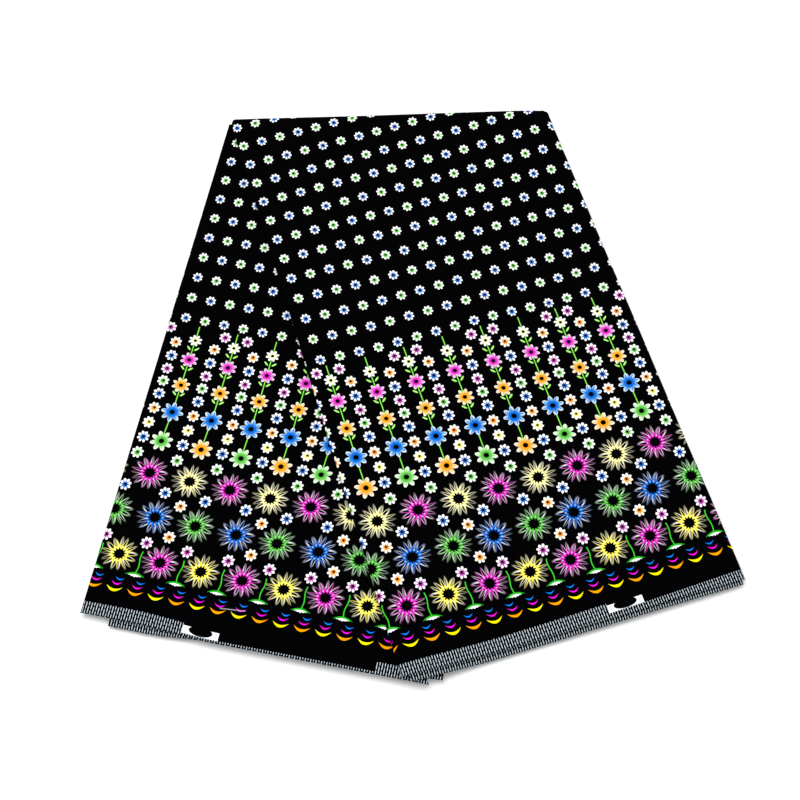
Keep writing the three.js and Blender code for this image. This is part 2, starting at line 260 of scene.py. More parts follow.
def printed(u, v, s, t, swapped=0):
    """A point's places on the cloth, one for each of its maps."""
    column = (u - FIELD_COLUMN_AT) / FIELD_STEP + swapped
    row = (v - FIELD_ROW_AT) / FIELD_ROW
    return {"print": (u, v), "hatch": (s, t), "field": (column, row)}


def print_at(panel, place, from_edge, aside=0, up=0):
    """What is printed on a panel at a place in plan. Aside and up add the cloth that has rolled
    over a fold there."""
    laid = PRINTS[panel]
    angle = math.radians(laid["turn"])
    offset = place - Vector(laid["origin"])
    along_edge = offset.x * math.cos(angle) + offset.y * math.sin(angle) + aside
    height = -offset.x * math.sin(angle) + offset.y * math.cos(angle) + up
    moved_aside, moved_up = drift_at(DRIFTS[panel], along_edge, height)
    u = laid["start"] + laid["hand"] * along_edge + moved_aside
    t = from_edge + between_marks(HATCH_TRIMS[panel], along_edge)
    return printed(u, height + moved_up, along_edge - laid["block"], t, DAISIES_SWAPPED[panel])


def corner_fold_radius(below_top_fold):
    softer = CORNER_FOLD_RADIUS - SIDE_FOLD_RADIUS
    return SIDE_FOLD_RADIUS + softer * math.exp(-max(below_top_fold, 0) / CORNER_FOLD_REACH)


def right_panel_point(share, down, side, top):
    """A point of the right panel's outer face and what is printed there. Side and top say how
    far it has rolled over past its folds, in radians."""
    inset = -TOP_FOLD_DEPTH / RIGHT["along"].dot(TOP_OUTWARD)
    top_edge = top_fold_at(RIGHT, PLEAT_WIDTH / 2) + inset
    guess = lerp(top_edge, RIGHT_SELVEDGE_LEFT, down)
    right_radius = corner_fold_radius(down * (RIGHT_SELVEDGE_LEFT - top_edge))
    across = lerp(SIDE_FOLD_RADIUS, right_width_at(guess) - right_radius, share)
    along = lerp(top_fold_at(RIGHT, across) + inset, right_selvedge_at(across), down)
    place = in_plan(RIGHT, across, along)
    height = right_height_at(place) + crease_at("right", across, along)
    from_edge = right_selvedge_at(across) - along
    rolled = math.hypot(side, top)
    if rolled == 0:
        return Vector((place.x, place.y, height)), print_at("right", place, from_edge)
    side_share = side / rolled
    top_share = top / rolled
    turn = min(rolled, lerp(TOP_FOLD_END, CORNER_END, abs(side_share)))
    side_radius = SIDE_FOLD_RADIUS if side < 0 else right_radius
    top_radius = 0.5 * (height - UNDER_CLEARANCE)
    aside = turn * side_share * side_radius
    up = turn * top_share * (TOP_FOLD_DEPTH + top_radius) / 2
    marks = print_at("right", place, from_edge, aside, up)
    place = place + RIGHT["across"] * math.sin(turn) * side_share * side_radius
    place = place + TOP_OUTWARD * math.sin(turn) * top_share * TOP_FOLD_DEPTH
    radius = lerp(min(side_radius, SIDE_FOLD_SHARE * height), top_radius, top_share * top_share)
    return Vector((place.x, place.y, height - (1 - math.cos(turn)) * radius)), marks


def left_top_at(across):
    """The left panel's top edge slants down from its corner, then follows the top fold."""
    return top_fold_at(LEFT, across) + LEFT_TOP_INSET + min(LEFT_TOP_SLANT * across, LEFT_TOP_DROP)


def left_panel_point(share, down, side):
    along = lerp(left_top_at(0), LEFT_SELVEDGE, down)
    reach = TUCK - along * LEFT["along"].dot(RIGHT["across"])
    across = lerp(SIDE_FOLD_RADIUS, reach / LEFT["across"].dot(RIGHT["across"]), share)
    along = lerp(left_top_at(across), left_selvedge_at(across), down)
    place = in_plan(LEFT, across, along)
    height = left_height_at(place) + crease_at("left", across, along)
    from_edge = left_selvedge_at(across) - along
    marks = print_at("left", place, from_edge, side * SIDE_FOLD_RADIUS)
    place = place + LEFT["across"] * math.sin(side) * SIDE_FOLD_RADIUS
    height -= (1 - math.cos(side)) * SIDE_FOLD_RADIUS
    return Vector((place.x, place.y, height)), marks


def under_ply_point(panel, share, down):
    """The ply under a top one: it follows it and droops where it comes out."""
    right = panel == "right"
    fan = RIGHT if right else LEFT
    ends = RIGHT_UNDER_ENDS if right else LEFT_UNDER_ENDS
    selvedge_at = right_selvedge_at if right else left_selvedge_at
    height_at = right_height_at if right else left_height_at
    across = lerp(*ends, share)
    if right:
        reach = lerp(RIGHT_UNDER_REACH_LEFT, RIGHT_UNDER_REACH_RIGHT, across / PLEAT_WIDTH)
    else:
        reach = LEFT_UNDER_REACH - LEFT_UNDER_FALL * smooth(across, *LEFT_UNDER_FALLS)
        reach -= LEFT_UNDER_LIFTED_CORNER * smooth(across, LEFT_UNDER_LIFTED_FROM, ends[1])
    edge = selvedge_at(across)
    along = lerp(edge - UNDER_PLY_TUCK, edge + reach, down)
    place = in_plan(fan, across, along)
    out = max(0, along - edge + OVERHANG)
    sunk = DROOP * smooth(out, 0, OVERHANG + RIGHT_UNDER_REACH_LEFT)
    z = height_at(place) - PLY_SPACING - sunk
    t = edge + reach - along
    return Vector((place.x, place.y, z)), printed(across, t - OVERHANG, across + PLEAT_WIDTH, t)


def cloth_grid(name, columns, rows, point_at, thickness):
    """A ply of cloth from a grid of points and what is printed there, given its thickness."""
    grid = [point_at(column, row) for row in range(rows + 1) for column in range(columns + 1)]
    faces = []
    for row in range(rows):
        for column in range(columns):
            a = row * (columns + 1) + column
            b = a + columns + 1
            faces.append((a, b, b + 1, a + 1))
    mesh = bpy.data.meshes.new(name)
    mesh.from_pydata([point * MM for point, _ in grid], [], faces)
    maps = {name: [marks[name] for _, marks in grid] for name in ("print", "hatch", "field")}
    low_u, low_v = (min(at[axis] for at in maps["print"]) for axis in (0, 1))
    span = max(max(at[0] - low_u, at[1] - low_v) for at in maps["print"])
    maps["OFBake"] = [((u - low_u) / span, (v - low_v) / span) for u, v in maps["print"]]
    for map_name, places in maps.items():
        layer = mesh.uv_layers.new(name=map_name)
        for corner, loop in enumerate(mesh.loops):
            layer.data[corner].uv = places[loop.vertex_index]
    mesh.shade_smooth()
    ply = bpy.data.objects.new(name, mesh)
    bpy.context.scene.collection.objects.link(ply)
    body = ply.modifiers.new("thickness", "SOLIDIFY")
    body.thickness = thickness * MM
    body.offset = -1
    return ply


def right_panel():
    sides, across, top, down = 8, 108, 22, 212

    def point_at(column, row):
        share = min(max((column - sides) / across, 0), 1)
        share_down = min(max((row - top) / down, 0), 1)
        past = max(0, column - sides - across) - max(0, sides - column)
        over = max(0, top - row) / top * TOP_FOLD_END
        return right_panel_point(share, share_down, past / sides * math.pi / 2, over)

    return cloth_grid("right_panel_cloth", 2 * sides + across, top + down, point_at, CLOTH)


def left_panel():
    sides, across, down = 8, 100, 190

    def point_at(column, row):
        share = min(max((column - sides) / across, 0), 1)
        past = -max(0, sides - column)
        return left_panel_point(share, row / down, past / sides * math.pi / 2)

    return cloth_grid("left_panel_cloth", sides + across, down, point_at, CLOTH)


def under_ply(panel):
    across, down = 110, 16

    def point_at(column, row):
        return under_ply_point(panel, column / across, row / down)

    return cloth_grid(f"{panel}_under_ply_cloth", across, down, point_at, CLOTH)


# Plies inside the heap: one long ribbon to and fro in each fan
PLIES = 10
HEAP_CLEARANCE = 2.7  # below the top ply's face
HEAP_FLOOR = 0.1
HEAP_TOP = 30  # roughly how far below the pivot the plies start
HEAP_RUN_OUT = 30
HEAP_GAP = 0.3  # between the right fan's lowest ply and the left fan
LEFT_FAN_STEP = 3.4  # the left fan's plies step back where the right fan lies over them
HEAP_INSETS = {"left_edge": 1.0, "right": 1.2, "left": 2}
HEAP_CORNER_FROM = 45  # below the pivot, where the right fan's soft corner starts
HEAP_CORNER_SHARE = 0.7  # of the top ply's corner
WANDERS = {"left_edge": 2.4, "right": 2.6, "left": 2, "selvedge": 2.6}
WANDER_ALONG = 0.013  # cells of noise to a millimetre
WANDER_APART = 7.3  # cells from ply to ply
WANDER_SLICE = 0.4
RIGHT_EDGE, SELVEDGE = 20, 40  # added to a ply's number, so that each of its edges differs


def ply_wander(ply, along, size):
    """Folded edges lie unevenly: how far one ply's edge stands back, along its length."""
    spot = Vector((WANDER_ALONG * along, WANDER_APART * ply, WANDER_SLICE))
    return size * (0.5 + 0.5 * noise.noise(spot))


def right_heap_floor(place):
    """The right fan rests on the left one, and comes down to the floor past its edge."""
    raised = 1 - smooth(from_left_fan(place), -LIFT_RUN_IN, HEAP_RUN_OUT)
    return HEAP_FLOOR + (FAN_HEIGHT + HEAP_GAP) * raised


def heap_point(panel, ply, share, down, fold):
    """A point of a fan's ribbon. Fold runs from 0 to 1 over a side fold up to the next ply."""
    right = panel == "right"
    fan = RIGHT if right else LEFT
    edge_at_fold = share > 0.5
    along_guess = lerp(HEAP_TOP, RIGHT_SELVEDGE_LEFT if right else LEFT_SELVEDGE, down)
    left_edge = ply + (0 if edge_at_fold else 0.5)
    low = HEAP_INSETS["left_edge"] + ply_wander(left_edge, along_guess, WANDERS["left_edge"])
    wander = ply_wander(ply + RIGHT_EDGE, along_guess, WANDERS[panel])
    if right:
        high = right_width_at(along_guess) - HEAP_INSETS[panel] - wander
        corner = corner_fold_radius(along_guess - HEAP_CORNER_FROM) - SIDE_FOLD_RADIUS
        high -= HEAP_CORNER_SHARE * corner
    else:
        high = PLEAT_WIDTH - HEAP_INSETS[panel] - LEFT_FAN_STEP * ply - wander
    across = lerp(low, high, share)
    if right:
        start = top_fold_at(RIGHT, across) + TOP_FOLD_DEPTH + 1
        end = right_selvedge_at(across) - OVERHANG
    else:
        start = left_top_at(across) + 1
        end = LEFT_SELVEDGE - OVERHANG
    end -= ply_wander(ply + SELVEDGE, across, WANDERS["selvedge"])
    along = lerp(start, end, down)
    place = in_plan(fan, across, along)
    floor = right_heap_floor(place) if right else HEAP_FLOOR
    top = (right_height_at(place) if right else left_height_at(place)) - HEAP_CLEARANCE
    pitch = (top - floor - HIDDEN_CLOTH) / (PLIES - 1)
    z = floor + HIDDEN_CLOTH + pitch * ply
    if fold > 0:
        swing = math.sin(math.pi * fold) * pitch / 2 * (1 if edge_at_fold else -1)
        place = place + fan["across"] * swing
        z += pitch * (1 - math.cos(math.pi * fold)) / 2
    unrolled = ply * PLEAT_WIDTH + (across if ply % 2 == 0 else PLEAT_WIDTH - across)
    t = end - along
    return Vector((place.x, place.y, z)), printed(unrolled, t - OVERHANG, unrolled + PLEAT_WIDTH, t)


def heap(panel):
    """One fan's hidden plies, folded to and fro like an accordion."""
    flat_steps, fold_steps, down = 12, 4, 40
    path = []
    for ply in range(PLIES):
        forward = ply % 2 == 0
        for step in range(flat_steps + 1):
            share = step / flat_steps
            path.append((ply, share if forward else 1 - share, 0))
        if ply < PLIES - 1:
            for step in range(1, fold_steps):
                path.append((ply, 1 if forward else 0, step / fold_steps))

    def point_at(column, row):
        ply, share, fold = path[column]
        return heap_point(panel, ply, share, row / down, fold)

    return cloth_grid(f"{panel}_folded_plies", len(path) - 1, down, point_at, HIDDEN_CLOTH)


# Inks, as sRGB hex: a flower's full ink, and the pale inside of its petals. In a small daisy, the
# star of ink and what it bled to.
WHITE = "#FFFFFF"
GROUND = "#020203"
INKS = {
    "blue": {"full": "#0A64C8", "pale": "#3C9CE8", "star": "#06428E", "bled": "#2278CC"},
    "green": {"full": "#50B438", "pale": "#B8E8A8", "star": "#469C32", "bled": "#A0D68C"},
    "magenta": {"full": "#D624BA", "pale": "#EE7CD8", "star": "#86187C", "bled": "#CC68BC"},
    "orange": {"full": "#FF9E12", "pale": "#FFC67C", "star": "#E88414", "bled": "#FFBE70"},
    "yellow": {"full": "#FFF050", "pale": "#FFF8A8", "star": "#E4D85C", "bled": "#FFF6B4"},
    "cream": {"full": "#FFF6A0"},
    "white": {"full": "#FFF8B8", "pale": "#FFFFFF"},
}
STEM_GREEN = "#7CE04A"
LEAF_GREEN = "#A4EE70"
CURVED_STEM_GREEN = "#3CCC2C"
TUFT_GREEN = "#22B01F"
WORN_GREY = "#55555C"
LABEL_WHITE = "#F2F2F6"
LABEL_LILAC = "#DCDCEE"
DASH_WHITE = "#C8D6DE"

# The print repeats along the selvedge. Stems stand in columns, with mid columns between them.
REPEAT = 71.3  # two stem columns, a first and a second kind
COLUMN = REPEAT / 2
FIRST_STEM = 23.2
MID_COLUMN = 16.6  # from a stem column to the next mid column
PRINT_HEIGHT = 300  # of the part that is looked up by height

# Small daisies above the flower border stand in a plain grid, and two colours take turns in it
FIELD_STEP = REPEAT / 4
FIELD_ROW = 22.5
FIELD_COLUMN_AT = 20.1
FIELD_ROW_AT = 295.9
FIELD_FROM = -0.27  # rows below the first one
FIELD_DAISY = 0.87  # of the size of the border's small daisies

# Small daisies of the border's mid columns: middle and ink, and where each row starts
MID_DAISIES = [
    {"from": 0, "middle": 67.5, "ink": "magenta"},
    {"from": 92, "middle": 117, "ink": "blue"},
    {"from": 133, "middle": 149.5, "ink": "green"},
    {"from": 157.5, "middle": 165.5, "ink": "blue"},
    {"from": 173, "middle": 180.5, "ink": "yellow"},
    {"from": 188, "middle": 195.5, "ink": "orange"},
    {"from": 203, "middle": 211, "ink": "blue"},
    {"from": 218, "middle": 225, "ink": "green"},
    {"from": 231.5, "middle": 238.5, "ink": "magenta"},
    {"from": 245.5, "middle": 253, "ink": "blue"},
    {"from": 260, "middle": 268, "ink": "orange"},
]
# Small daisies of the border's stem columns
STEM_DAISIES = [
    {"from": 0, "middle": 77, "ink": "orange"},
    {"from": 92, "middle": 107.6, "ink": "orange"},
]
PAIR_ROW = 283  # a magenta daisy each side of a first stem's top
PAIR_START = 276
PAIR_OFF_STEM = 10.3
DAISY_NOTCH = 3.65  # from a small daisy's middle
DAISY_PETAL = 1.7  # further out than the notches
DAISY_PETALS = 8
DAISY_ROUNDNESS = 0.65  # of the petals' tips, 1 for a plain wave
DAISY_SQUASH = 0.92
DAISY_DOT = (0.85, 1.45)  # black within the first radius, and blurred out to the second
DAISY_DOT_ASIDE = 0.2
DAISY_DOT_UP = 0.25
MID_DAISY_REACH = 6.6  # each side of a mid column
STAR_NOTCH = 2.2  # the ink star in a daisy, from its middle
STAR_POINT = 1.9  # further out than the notches
STAR_SHARPNESS = 1.2
STAR_SAG = 0.35  # how much further it runs downwards
STAR_BLEED = (-0.7, 0.6)  # from its edge, where the ink thins out
STAR_FADE = (1.2, 3.2)  # from its middle, where it pales

# Flowers on the stems: middle, radius and ink, and the angle of the first petal
STEM_FLOWERS = [
    {"from": 0, "middle": 165, "radius": 9.9, "ink": "orange", "turn": 22.5},
    {"from": 180, "middle": 195, "radius": 9.9, "ink": "blue", "turn": 0},
    {"from": 209.5, "middle": 224, "radius": 8.2, "ink": "orange", "turn": 22.5},
    {"from": 238.5, "middle": 252, "radius": 7.9, "ink": "magenta", "turn": 22.5},
    {"from": 263, "middle": 273.5, "radius": 6.1, "ink": "white", "turn": 22.5},
]
STEM_FLOWER_FOOT = 154
STEM_FLOWER_TOP = 282
STEM_FLOWER_PETALS = 8
# As shares of a stem flower's radius
STEM_FLOWER_PETAL = {"middle": 0.61, "half_length": 0.39, "half_width": 0.2}
STEM_FLOWER_HEART = 0.44
STEM_FLOWER_PALES = (0.3, 0.85)
STEM_FLOWER_WHITENS = (0.45, 0.7)
STEM_FLOWER_MIDDLE = (0.22, 0.27)
STEM_FLOWER_RIM = (0.72, 0.95)  # of the way out to a petal's edge
STEM_FLOWER_STREAK = 0.06  # its middle, off the petal's
# A ramp's colours end at 1, so it holds radii and turns as shares of these
RAMP_RADIUS = 20
RAMP_TURN = 45
STEM_FOOT = 166
STEM_TOP = 289
STEM_HALF_WIDTH = 0.45
LEAF_ROWS = [
    {"from": 0, "middle": 214.5},
    {"from": 228, "middle": 242.5},
    {"from": 254, "middle": 264.5},
]
LEAF_OFF_STEM = 3.6
LEAF_HALF_LENGTH = 2.6
LEAF_HALF_WIDTH = 0.85

# Starbursts in three rows: the inks of a row's first and second kind
BURSTS = [
    {"from": 0, "first": "magenta", "second": "yellow"},
    {"from": 73, "first": "blue", "second": "green"},
    {"from": 113, "first": "cream", "second": "magenta"},
]
BURST_ROW = 52.2
BURST_STEP = 40.2
BURST_FOOT = 33.2
BURST_TOP = 153
BURST_AHEAD = 1  # of the middle row
BURST_PAIRS = 8
BURST_LOOPS = {"middle": 10.4, "half_length": 6, "half_width": 1.5}
BURST_STROKE = 0.78  # of the way out to a loop's edge
BURST_STROKE_WIDTH = (0.06, 0.32)  # full ink, and none
BURST_FADE = (10, 15)
BURST_WHITENS = (7.5, 11)
BURST_FILLED_TURN = 22.5
BURST_WORN_TURN = 112.5
BURST_LEAN = 0.05  # radians, of a pair's loops towards each other
BURST_BEND = 0.07  # radians
BURST_UNEVEN = 0.06  # of a loop's length
BURST_RING = 7.9
BURST_RING_WAVE = 0.9
BURST_HEART = 4.3
BURST_HEART_POINTS = 12
BURST_HEART_POINT = 2.3

# Crescents in stacks of three above the selvedge
CRESCENT_FIRST = 16.8
CRESCENTS = [
    {"width": 13.7, "bottom": 17.2, "tips": 22.2, "thick": 2.4, "aside": 0, "ink": "#FFF200"},
    {"width": 9.3, "bottom": 23.6, "tips": 27.0, "thick": 1.3, "aside": -0.5, "ink": "#FF10E8"},
    {"width": 7.6, "bottom": 28.3, "tips": 31.1, "thick": 1.15, "aside": -1.9, "ink": "#0A84FF"},
]
SECOND_CRESCENT = "#FFA000"

# Tufts of leaves with a curved stem, in the mid columns
TUFT_HALF_WIDTH = 8.5
TUFT_TIPS = 35.2
TUFT_TOP = 38.4
TUFT_POINT = 34
TUFT_FOOT_HALF_WIDTH = 5.6
TUFT_LEAF = 1.3  # from a leaf's tip to the next notch
TUFT_GREEN_DEPTH = 1.7
TUFT_JAG = 0.5
CURVED_STEM_FOOT = 38.1
CURVED_STEM_TOP = 59
CURVED_STEM_WAVE = 21
CURVED_STEM_SWING = 0.7

# Hatch along each selvedge, up from the cloth's edge, with a white label block left plain, and a
# stretch beside it where the hatch stays low
HATCH_HEIGHT = 14.3
LOW_HATCH_HEIGHT = 5.5
DASH_STEP = REPEAT / 32
DASH_HALF_WIDTH = 0.3
DASH_ROW = 7.2  # a dash and the gap after it
DASH_SHARE = 0.87
DASH_TIP = 0.6  # of its width
BLOCK_LENGTH = 31
BLOCK_FOOT = 5.6
BLOCK_TOP = 12.4
LOW_HATCH_LENGTH = 161  # of the block and the stretch beside it
OVAL_HEIGHT = 10
OVAL_HALF_LENGTH = 10.1
OVAL_HALF_HEIGHT = 4.2
LILAC_HALF_LENGTH = 1.9  # of the tinted patch in each end of the block
LILAC_INSET = 1

# A stray end of thread
LINT_MIDDLE = Vector((-48.7, 24))
LINT_HALF_LENGTH = 10.5
LINT_SLOPE = -0.105
LINT_BLUR = (0.25, 0.65)
LINT_COVER = 0.8
LINT_GREY = "#A8A4AC"

# Threads: a plain weave has about three to a millimetre, which is too fine to show at this size,
# so it is drawn four times as coarse
THREAD_STEP = 1.3
THREAD_RISE = 0.06


def linear(colour):
    """An sRGB hex colour as linear red, green, blue and alpha."""
    parts = [int(colour[at : at + 2], 16) / 255 for at in (1, 3, 5)]
    return (*[c / 12.92 if c <= 0.04045 else ((c + 0.055) / 1.055) ** 2.4 for c in parts], 1)


def add_node(tree, kind, *inputs, stops=None, **settings):
    """Adds one node and returns it. Kind is its type, and after a dot its operation. Inputs are
    nodes, sockets, values or None, in order. Stops are a ramp's places and colours."""
    kind, _, operation = kind.partition(".")
    node = tree.nodes.new("ShaderNode" + kind)
    if operation:
        node.operation = operation
    for setting, value in settings.items():
        setattr(node, setting, value)
    if stops:
        node.color_ramp.interpolation = "CONSTANT"
        while len(node.color_ramp.elements) < len(stops):
            node.color_ramp.elements.new(1)
        for element, (place, colour) in zip(node.color_ramp.elements, stops):
            element.position = place
            element.color = colour
    for socket, value in zip(node.inputs, inputs):
        if isinstance(value, bpy.types.Node):
            value = value.outputs[0]
        if isinstance(value, bpy.types.NodeSocket):
            tree.links.new(value, socket)
        elif value is not None:
            socket.default_value = value
    return node


SOFT = {"interpolation_type": "SMOOTHSTEP"}  # for a range that eases in and out


def row_stops(rows, worth):
    """Stops of a ramp that looks a row's worth up by height."""
    return [(row["from"] / PRINT_HEIGHT, worth(row)) for row in rows]


def ink_stops(rows, kind, tone):
    return row_stops(rows, lambda row: linear(INKS[row[kind]][tone]))


def row_middle(row):
    return (row["middle"] / PRINT_HEIGHT,) * 3 + (1,)


def between(add, mask, place, low, high):
    """A mask, kept only where a place lies between two others."""
    within = add("Math.COMPARE", place, (low + high) / 2, (high - low) / 2)
    return add("Math.MULTIPLY", mask, within)


def column_places(add, u, first):
    """Where u lies in its column, from the column's middle, and whether it is of the first kind."""
    off = add("Math.SUBTRACT", u, first)
    x = add("Math.WRAP", off, COLUMN / 2, -COLUMN / 2)
    off_repeat = add("Math.ABSOLUTE", add("Math.WRAP", off, COLUMN, -COLUMN))
    return x, add("Math.LESS_THAN", off_repeat, COLUMN / 2)


def squares(add, a, b):
    """Sum of two squares."""
    return add("Math.MULTIPLY_ADD", a, a, add("Math.MULTIPLY", b, b))


def polar(add, x, y):
    """Distance from a flower's middle, and angle in radians from up the cloth."""
    return add("Math.SQRT", squares(add, x, y)), add("Math.ARCTAN2", x, y)


def petal_places(add, angle, away, turn, count):
    """Folds the angle into one petal: across it and along it, from the flower's middle."""
    sector = 2 * math.pi / count
    folded = add("Math.WRAP", add("Math.SUBTRACT", angle, turn), sector / 2, -sector / 2)
    across = add("Math.MULTIPLY", away, add("Math.SINE", folded))
    along = add("Math.MULTIPLY", away, add("Math.COSINE", folded))
    return across, along


def ellipse(add, across, along, middle, half_length, half_width, straight_foot=False):
    """1 on a petal's edge, less inside it. A straight foot runs on to the flower's middle."""
    a = add("Math.MULTIPLY", across, 1 / half_width)
    b = add("Math.MULTIPLY_ADD", along, 1 / half_length, -middle / half_length)
    if straight_foot:
        b = add("Math.MAXIMUM", b, 0)
    return add("Math.SQRT", squares(add, a, b))


def small_daisies(add, u, v, level, field):
    """Small white daisies with a star of ink, bled out softly round a black middle."""
    column, row = field.outputs["X"], field.outputs["Y"]
    field_x = add("Math.MULTIPLY", add("Math.WRAP", column, 0.5, -0.5), FIELD_STEP / FIELD_DAISY)
    field_y = add("Math.MULTIPLY", add("Math.WRAP", row, 0.5, -0.5), FIELD_ROW / FIELD_DAISY)
    column_sign = add("Math.COSINE", add("Math.MULTIPLY", column, math.pi))
    row_sign = add("Math.COSINE", add("Math.MULTIPLY", row, math.pi))
    field_blue = add("Math.GREATER_THAN", add("Math.MULTIPLY", column_sign, row_sign), 0)
    in_field = add("Math.GREATER_THAN", row, FIELD_FROM)

    stem_x, first = column_places(add, u, FIRST_STEM)
    mid_x, _ = column_places(add, u, FIRST_STEM + MID_COLUMN)
    near_mid = add("Math.LESS_THAN", add("Math.ABSOLUTE", mid_x), MID_DAISY_REACH)
    in_pair = add("Math.MULTIPLY", add("Math.GREATER_THAN", v, PAIR_START), first)
    pair_x = add("Math.SUBTRACT", add("Math.ABSOLUTE", stem_x), PAIR_OFF_STEM)
    pair_y = add("Math.SUBTRACT", v, PAIR_ROW)
    mid_height = add("ValToRGB", level, stops=row_stops(MID_DAISIES, row_middle))
    stem_height = add("ValToRGB", level, stops=row_stops(STEM_DAISIES, row_middle))
    mid_y = add("Math.MULTIPLY_ADD", mid_height, -PRINT_HEIGHT, v)
    stem_y = add("Math.MULTIPLY_ADD", stem_height, -PRINT_HEIGHT, v)
    # Only the first kind of stem column has daisies: the second kind's are moved out of sight
    out_of_sight = add("Math.MULTIPLY_ADD", first, -COLUMN, COLUMN)
    stem_spot = add("CombineXYZ", add("Math.ADD", stem_x, out_of_sight), stem_y)
    spot = add("MixRGB", near_mid, stem_spot, add("CombineXYZ", mid_x, mid_y))
    spot = add("MixRGB", in_pair, spot, add("CombineXYZ", pair_x, pair_y))
    spot = add("MixRGB", in_field, spot, add("CombineXYZ", field_x, field_y))
    inks = []
    for tone in ("star", "bled"):
        mid_ink = add("ValToRGB", level, stops=ink_stops(MID_DAISIES, "ink", tone))
        stem_ink = add("ValToRGB", level, stops=ink_stops(STEM_DAISIES, "ink", tone))
        ink = add("MixRGB", near_mid, stem_ink, mid_ink)
        ink = add("MixRGB", in_pair, ink, linear(INKS["magenta"][tone]))
        green, blue = (linear(INKS[name][tone]) for name in ("green", "blue"))
        field_ink = add("MixRGB", field_blue, green, blue)
        inks.append(add("MixRGB", in_field, ink, field_ink))

    at = add("SeparateXYZ", spot)
    squashed = add("Math.MULTIPLY", at.outputs["Y"], DAISY_SQUASH)
    away, angle = polar(add, at.outputs["X"], squashed)
    wave = add("Math.COSINE", add("Math.MULTIPLY", angle, DAISY_PETALS))
    petal = add("Math.POWER", add("Math.MULTIPLY_ADD", wave, -0.5, 0.5), DAISY_ROUNDNESS)
    edge = add("Math.MULTIPLY_ADD", petal, DAISY_PETAL, DAISY_NOTCH)
    mask = add("Math.LESS_THAN", away, edge)
    # The ink star's points lie between the petals, and run furthest downwards
    spoke = add("Math.POWER", add("Math.MULTIPLY_ADD", wave, 0.5, 0.5), STAR_SHARPNESS)
    reach = add("Math.MULTIPLY_ADD", spoke, STAR_POINT, STAR_NOTCH)
    reach = add("Math.MULTIPLY_ADD", add("Math.COSINE", angle), -STAR_SAG, reach)
    past = add("Math.SUBTRACT", away, reach)
    bare = add("MapRange", past, *STAR_BLEED, **SOFT)
    paler = add("MapRange", away, *STAR_FADE, **SOFT)
    ink = add("MixRGB", paler, *inks)
    colour = add("MixRGB", bare, ink, linear(WHITE))
    dot_x = add("Math.ADD", at.outputs["X"], DAISY_DOT_ASIDE)
    dot_y = add("Math.SUBTRACT", at.outputs["Y"], DAISY_DOT_UP)
    from_dot, _ = polar(add, dot_x, dot_y)
    past_dot = add("MapRange", from_dot, *DAISY_DOT)
    return mask, add("MixRGB", past_dot, linear(GROUND), colour)


def stems(add, u, v, level):
    """Green stems with pairs of leaves, up the stem columns."""
    x, _ = column_places(add, u, FIRST_STEM)
    aside = add("Math.ABSOLUTE", x)
    line = add("Math.LESS_THAN", aside, STEM_HALF_WIDTH)
    line = between(add, line, v, STEM_FOOT, STEM_TOP)
    leaf_height = add("ValToRGB", level, stops=row_stops(LEAF_ROWS, row_middle))
    y = add("Math.MULTIPLY_ADD", leaf_height, -PRINT_HEIGHT, v)
    leaf_x = add("Math.SUBTRACT", aside, LEAF_OFF_STEM)
    rise = math.sqrt(0.5)  # leaves slant half-way up
    along = add("Math.MULTIPLY", add("Math.ADD", leaf_x, y), rise / LEAF_HALF_LENGTH)
    across = add("Math.MULTIPLY", add("Math.SUBTRACT", y, leaf_x), rise / LEAF_HALF_WIDTH)
    leaf = add("Math.LESS_THAN", squares(add, along, across), 1)
    mask = add("Math.MAXIMUM", line, leaf)
    return mask, add("MixRGB", leaf, linear(STEM_GREEN), linear(LEAF_GREEN))


